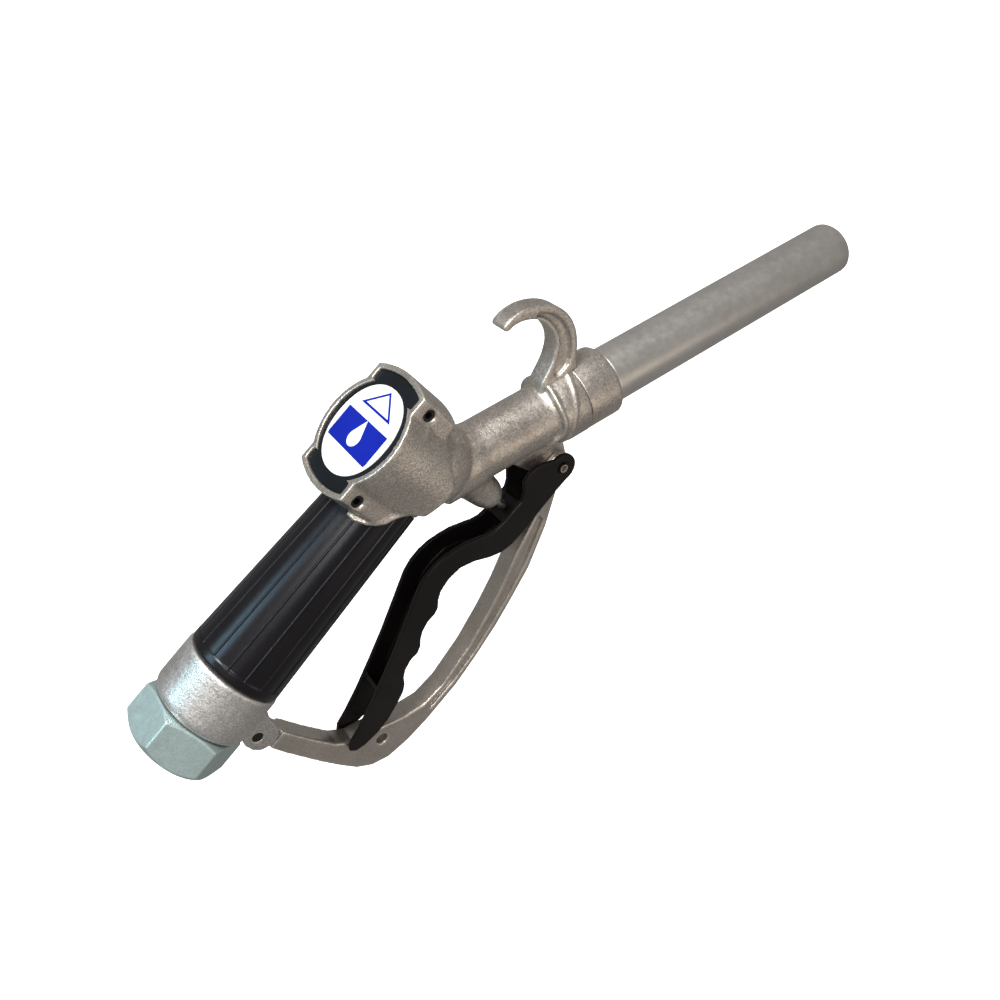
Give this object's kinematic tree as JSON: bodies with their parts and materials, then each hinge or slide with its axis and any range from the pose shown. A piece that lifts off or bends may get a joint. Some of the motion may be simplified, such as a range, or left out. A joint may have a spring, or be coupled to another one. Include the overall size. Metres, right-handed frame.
{
  "type": "fuel nozzle",
  "caption": "Manual fuel nozzle in cast aluminium with a black tapered grip, lever under a bow guard, hanging hook, straight tube spout and a hexagon swivel inlet.",
  "frame": {"origin": "centre of the inlet mouth, on the handle axis", "axes": "+X along the handle axis from the inlet to the valve head, +Z towards the valve cap, +Y completes the right hand; the nozzle is symmetric about the XZ plane"},
  "size_m": [0.4217, 0.0568, 0.1907],
  "materials": {
    "cast_aluminium": "shot-blasted casting, satin",
    "spout_aluminium": "drawn tube, satin with handling marks",
    "zinc_plate": "zinc plated, blue passivated, satin",
    "steel": "machined, plain",
    "brass": "machined",
    "grip_plastic": "moulded, semi-gloss",
    "lever_plastic": "moulded, satin",
    "cap_plastic": "moulded, fine texture",
    "label": "printed label, satin",
    "seal_rubber": "smooth"
  },
  "bodies": {
    "body": {"body_casting": "cast_aluminium", "valve_bonnet": "steel", "bonnet_o_ring": "seal_rubber", "bonnet_pins": "steel", "cap_cover": "cap_plastic", "label_plate": "label", "main_spring": "steel", "stem_gland": "brass", "stem_o_rings": "seal_rubber", "seat_ring": "brass", "handle_sleeve": "grip_plastic", "inlet_collar": "cast_aluminium", "collar_o_ring": "seal_rubber", "swivel_o_ring": "seal_rubber", "race_balls": "steel", "ball_plug": "steel", "trigger_guard": "cast_aluminium", "guard_screw": "steel", "guard_nut": "steel", "pivot_pin": "steel", "spout_collar": "cast_aluminium", "spout_tube": "spout_aluminium", "spout_o_ring": "seal_rubber"},
    "lever": {"lever": "lever_plastic"},
    "stem": {"valve_stem": "steel", "valve_poppet": "brass", "poppet_seal": "seal_rubber", "poppet_nut": "steel"},
    "swivel": {"swivel_hex": "zinc_plate", "inlet_strainer": "steel", "strainer_ring": "brass", "hose_washer": "seal_rubber"}
  },
  "joints": [
    {"name": "lever_pivot", "type": "hinge", "parent": "body", "child": "lever", "pos_m": [0.217, 0, -0.079], "axis": [0, 1, 0], "range_deg": [0, 15], "stiffness_Nm_per_rad": 6, "springref_deg": -20.05},
    {"name": "stem_slide", "type": "slide", "parent": "body", "child": "stem", "axis": [0, 0, 1], "range_m": [0, 0.0095], "deforming": ["main_spring"]},
    {"name": "swivel_spin", "type": "hinge", "parent": "body", "child": "swivel", "pos_m": [0.0265, 0, 0], "axis": [1, 0, 0], "continuous": true}
  ],
  "couplings": [
    {"joint": "stem_slide", "follows": "lever_pivot", "m_per_rad": 0.0362}
  ]
}
